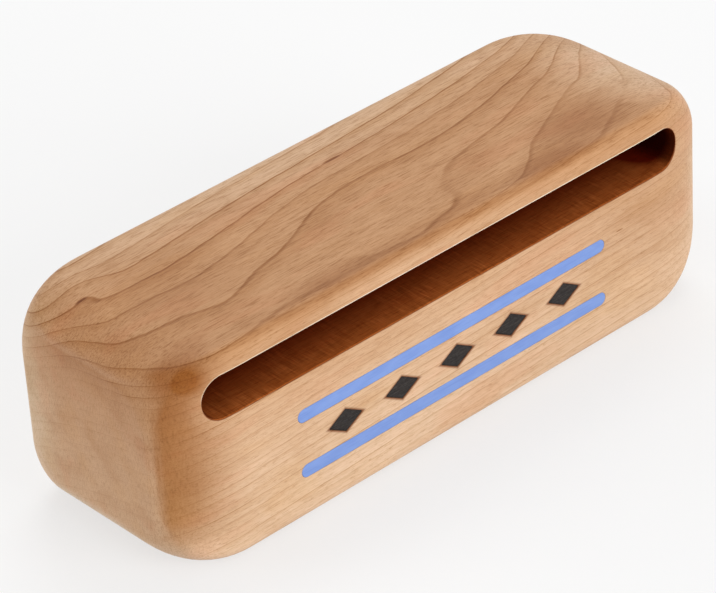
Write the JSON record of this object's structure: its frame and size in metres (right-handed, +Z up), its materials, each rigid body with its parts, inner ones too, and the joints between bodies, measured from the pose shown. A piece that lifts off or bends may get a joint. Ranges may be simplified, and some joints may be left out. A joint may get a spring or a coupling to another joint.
{
  "type": "woodblock",
  "caption": "Rounded maple woodblock with a long round-ended sound slot milled into its front and a painted band of stripes and diamonds below the slot.",
  "frame": {"origin": "centre of the flat underside, on the surface that the block stands on", "axes": "+X along the length, -Y out of the slotted front, +Z up"},
  "size_m": [0.198, 0.0636, 0.0635],
  "materials": {
    "maple": "smooth sanded hardwood with a thin satin oil finish",
    "blue_paint": "flat brushed paint",
    "black_fill": "dull black fill in a burned recess"
  },
  "bodies": {
    "root": {"block": "maple", "upper_stripe": "blue_paint", "lower_stripe": "blue_paint", "diamond_mark_1": "black_fill", "diamond_mark_2": "black_fill", "diamond_mark_3": "black_fill", "diamond_mark_4": "black_fill", "diamond_mark_5": "black_fill"}
  },
  "joints": []
}
